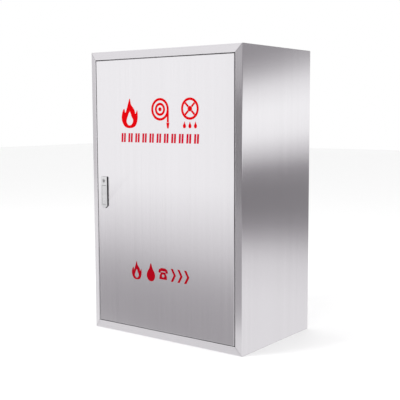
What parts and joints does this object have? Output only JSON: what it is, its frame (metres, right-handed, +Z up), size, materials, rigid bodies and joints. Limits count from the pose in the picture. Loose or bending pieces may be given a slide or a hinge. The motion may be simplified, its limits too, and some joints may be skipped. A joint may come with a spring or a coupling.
{
  "type": "standpipe cabinet",
  "caption": "Tall folded-sheet stainless cabinet with an inset hinged door, plane lock and pull flap, holding an angle hose valve, rolled hose and nozzle.",
  "frame": {"origin": "centre of the bounding box's bottom face, on the surface that the cabinet stands on", "axes": "+Z up, -Y out through the door, +X towards the hinge side, the right as one faces the door"},
  "size_m": [0.65, 0.435, 1],
  "materials": {
    "brushed_stainless": "vertical brushed stainless sheet, 1 to 1.2 mm",
    "satin_chrome": "satin chrome-plated zinc casting",
    "zinc_steel": "zinc-plated steel, slightly dull",
    "black_plastic": "black moulded nylon",
    "rubber": "black moulded rubber",
    "red_enamel": "red enamel on cast iron",
    "brass": "machined brass",
    "cast_aluminium": "cast and turned aluminium, satin",
    "nylon": "black moulded nylon bush, satin",
    "hose_fabric": "woven polyester hose jacket, off-white",
    "red_webbing": "red woven webbing"
  },
  "bodies": {
    "cabinet": {"left_side_panel": "brushed_stainless", "right_side_panel": "brushed_stainless", "top_panel": "brushed_stainless", "bottom_panel": "brushed_stainless", "back_panel": "brushed_stainless", "knockout_plug": "zinc_steel", "hinge_pin_top": "zinc_steel", "hinge_pin_bottom": "zinc_steel", "hinge_washer": "zinc_steel", "magnet_catch": "black_plastic", "bumper_top": "rubber", "bumper_bottom": "rubber", "inlet_nipple": "zinc_steel", "pipe_grommet": "rubber", "pipe_nut": "zinc_steel", "valve_body": "red_enamel", "outlet_coupling": "cast_aluminium", "outlet_seal": "rubber", "body_gasket": "rubber", "valve_bonnet": "red_enamel", "gland_nut": "brass", "hose_cradle": "brushed_stainless", "cradle_bracket": "zinc_steel", "nozzle_clip_lower": "brushed_stainless", "nozzle_clip_upper": "brushed_stainless", "cradle_rivet_left": "zinc_steel", "cradle_rivet_right": "zinc_steel", "clip_rivet_lower": "zinc_steel", "clip_rivet_upper": "zinc_steel"},
    "door": {"door_skin": "brushed_stainless", "door_stiffener": "brushed_stainless", "strike_plate": "zinc_steel", "hinge_bush_top": "nylon", "hinge_bush_bottom": "nylon", "lock_body": "black_plastic", "lock_face": "satin_chrome", "flap_pin": "zinc_steel", "lock_nut": "zinc_steel", "lock_screw": "zinc_steel"},
    "flap": {"pull_flap": "satin_chrome"},
    "lock": {"lock_cylinder": "satin_chrome", "latch_cam": "zinc_steel", "cam_nut": "zinc_steel"},
    "disc": {"valve_disc": "brass", "disc_seal": "rubber"},
    "spindle": {"valve_stem": "brass", "handwheel": "red_enamel", "handwheel_nut": "zinc_steel"},
    "hose": {"hose_roll": "hose_fabric", "hose_tail": "hose_fabric", "hose_coupling_outer": "cast_aluminium", "hose_coupling_inner": "cast_aluminium", "hose_strap": "red_webbing"},
    "nozzle": {"nozzle_coupling": "cast_aluminium", "nozzle_barrel": "cast_aluminium", "nozzle_grip": "rubber", "nozzle_tip": "brass"}
  },
  "joints": [
    {"name": "door_swing", "type": "hinge", "parent": "cabinet", "child": "door", "pos_m": [0.2825, -0.2065, 0.5], "axis": [0, 0, 1], "range_deg": [0, 130]},
    {"name": "flap_swing", "type": "hinge", "parent": "door", "child": "flap", "pos_m": [-0.269, -0.2153, 0.525], "axis": [-1, 0, 0], "range_deg": [0, 75]},
    {"name": "lock_turn", "type": "hinge", "parent": "door", "child": "lock", "pos_m": [-0.269, -0.2185, 0.5435], "axis": [0, 1, 0], "range_deg": [0, 90]},
    {"name": "stem_rise", "type": "slide", "parent": "cabinet", "child": "disc", "axis": [0, 0, 1], "range_m": [0, 0.02]},
    {"name": "handwheel_turn", "type": "hinge", "parent": "disc", "child": "spindle", "pos_m": [-0.185, 0.1175, 0.331], "axis": [0, 0, 1], "range_deg": [0, 1440]},
    {"name": "hose_lift", "type": "slide", "parent": "cabinet", "child": "hose", "axis": [0, 0, 1], "range_m": [0, 0.05]},
    {"name": "nozzle_pull", "type": "slide", "parent": "cabinet", "child": "nozzle", "axis": [0, -1, 0], "range_m": [0, 0.045]}
  ],
  "couplings": [
    {"joint": "stem_rise", "follows": "handwheel_turn", "m_per_rad": 0.000795}
  ]
}
